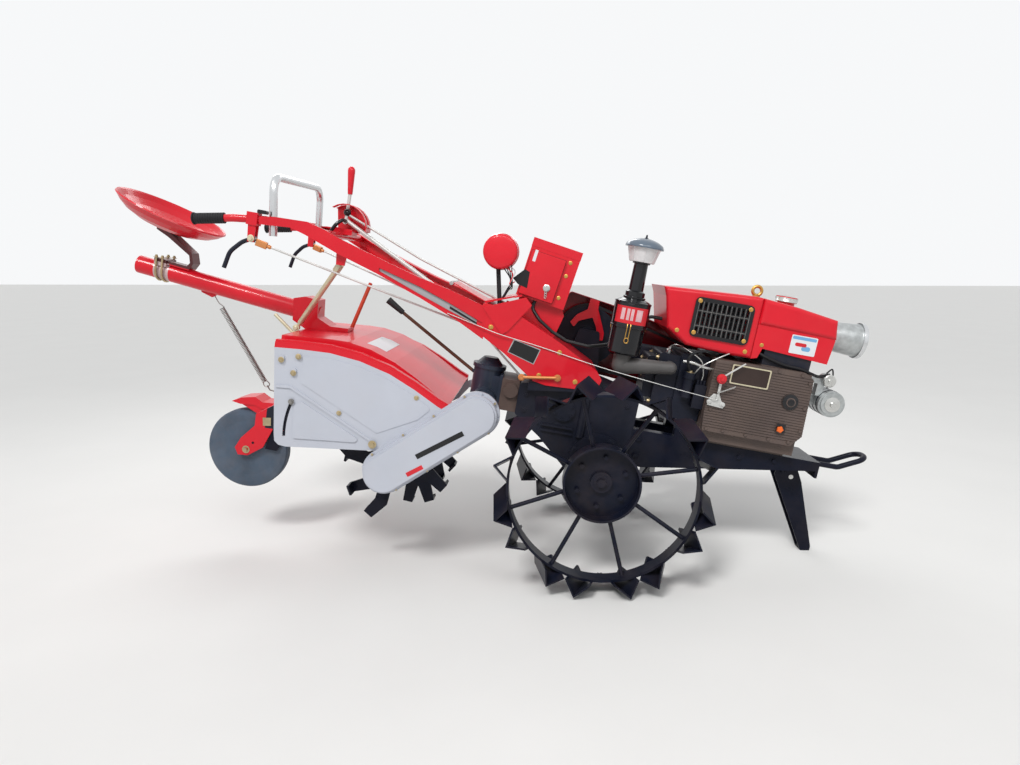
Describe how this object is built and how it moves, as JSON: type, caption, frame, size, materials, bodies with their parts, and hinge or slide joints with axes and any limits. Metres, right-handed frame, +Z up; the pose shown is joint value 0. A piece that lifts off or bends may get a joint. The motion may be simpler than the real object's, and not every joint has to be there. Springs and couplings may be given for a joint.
{
  "type": "walk-behind tractor",
  "caption": "Two-wheeled engine-driven tractor with steel paddle wheels, a rear rotary tiller, riding seat, long handles and a front stand, for tilling fields",
  "frame": {"origin": "middle of the bounding box on the ground", "axes": "X forward, Y to the machine's left, Z up; parked nose down on the front stand"},
  "size_m": [3.0807, 1.0724, 1.586],
  "materials": {
    "wheel_right": "semi-gloss",
    "wheel_left": "semi-gloss",
    "gearbox": "painted casting",
    "engine_frame": "semi-gloss",
    "front_stand": "semi-gloss",
    "hitch_loop": "semi-gloss",
    "crankcase": "satin",
    "cylinder_head": "painted casting",
    "radiator_hood": "gloss enamel",
    "fuel_tank": "gloss enamel",
    "hood_grille": "semi-gloss",
    "headlamp": "galvanised",
    "generator": "satin",
    "air_cleaner": "semi-gloss",
    "intake_elbow": "painted",
    "muffler": "semi-gloss",
    "flywheel": "painted casting",
    "clutch_pulley": "painted casting",
    "drive_belts": "matt",
    "belt_guard": "gloss enamel",
    "handle_frame": "gloss enamel",
    "grip_right": "matt",
    "grip_left": "matt",
    "steering_lever_right": "semi-gloss",
    "steering_lever_left": "semi-gloss",
    "main_lever": "bright",
    "guard_hoop": "bright",
    "round_lamp": "gloss enamel",
    "battery_box": "gloss enamel",
    "battery": "matt",
    "battery_lid": "gloss enamel",
    "rear_flange": "satin",
    "tiller_gearbox": "painted",
    "chain_case": "gloss enamel",
    "side_plate_right": "gloss enamel",
    "side_plate_left": "gloss enamel",
    "tiller_cover": "gloss enamel",
    "rear_flap": "gloss enamel",
    "rotor": "semi-gloss",
    "tail_arm": "gloss enamel",
    "tail_wheel": "grey rubber",
    "seat_beam": "gloss enamel",
    "seat_pan": "gloss enamel",
    "tension_spring": "zinc plated",
    "brace_rod": "zinc plated"
  },
  "bodies": {
    "chassis": {"gearbox": "gearbox", "engine_frame": "engine_frame", "hitch_loop": "hitch_loop", "crankcase": "crankcase", "cylinder_head": "cylinder_head", "radiator_hood": "radiator_hood", "fuel_tank": "fuel_tank", "hood_grille": "hood_grille", "headlamp": "headlamp", "generator": "generator", "air_cleaner": "air_cleaner", "intake_elbow": "intake_elbow", "muffler": "muffler", "flywheel": "flywheel", "clutch_pulley": "clutch_pulley", "drive_belts": "drive_belts", "belt_guard": "belt_guard", "handle_frame": "handle_frame", "grip_right": "grip_right", "grip_left": "grip_left", "steering_lever_right": "steering_lever_right", "steering_lever_left": "steering_lever_left", "main_lever": "main_lever", "guard_hoop": "guard_hoop", "round_lamp": "round_lamp", "battery_box": "battery_box", "battery": "battery", "rear_flange": "rear_flange", "tiller_gearbox": "tiller_gearbox", "chain_case": "chain_case", "side_plate_right": "side_plate_right", "side_plate_left": "side_plate_left", "tiller_cover": "tiller_cover", "rear_flap": "rear_flap", "seat_beam": "seat_beam", "seat_pan": "seat_pan", "tension_spring": "tension_spring", "brace_rod": "brace_rod"},
    "wheel_right_body": {"wheel_right": "wheel_right"},
    "wheel_left_body": {"wheel_left": "wheel_left"},
    "stand_body": {"front_stand": "front_stand"},
    "rotor_body": {"rotor": "rotor"},
    "tail_arm_body": {"tail_arm": "tail_arm"},
    "tail_wheel_body": {"tail_wheel": "tail_wheel"},
    "lid_body": {"battery_lid": "battery_lid"}
  },
  "joints": [
    {"name": "wheel_right_spin", "type": "hinge", "parent": "chassis", "child": "wheel_right_body", "pos_m": [0.41064, -0.45, 0.40222], "axis": [0, 1, 0], "continuous": true},
    {"name": "wheel_left_spin", "type": "hinge", "parent": "chassis", "child": "wheel_left_body", "pos_m": [0.41064, 0.45, 0.40222], "axis": [0, 1, 0], "continuous": true},
    {"name": "front_stand_fold", "type": "hinge", "parent": "chassis", "child": "stand_body", "pos_m": [1.20954, 0, 0.35477], "axis": [0, 1, 0], "range_deg": [0, 80]},
    {"name": "rotor_spin", "type": "hinge", "parent": "chassis", "child": "rotor_body", "pos_m": [-0.40523, 0, 0.42829], "axis": [0, 1, 0], "continuous": true},
    {"name": "tail_depth", "type": "hinge", "parent": "chassis", "child": "tail_arm_body", "pos_m": [-0.44996, 0, 0.53163], "axis": [0, 1, 0], "range_deg": [-20, 0]},
    {"name": "tail_wheel_spin", "type": "hinge", "parent": "tail_arm_body", "child": "tail_wheel_body", "pos_m": [-1.08681, 0, 0.41545], "axis": [0, 1, 0], "continuous": true},
    {"name": "battery_lid_hinge", "type": "hinge", "parent": "chassis", "child": "lid_body", "pos_m": [0.23831, 0.1025, 1.24353], "axis": [-0.9489, 0, 0.3156], "range_deg": [0, 95]}
  ]
}
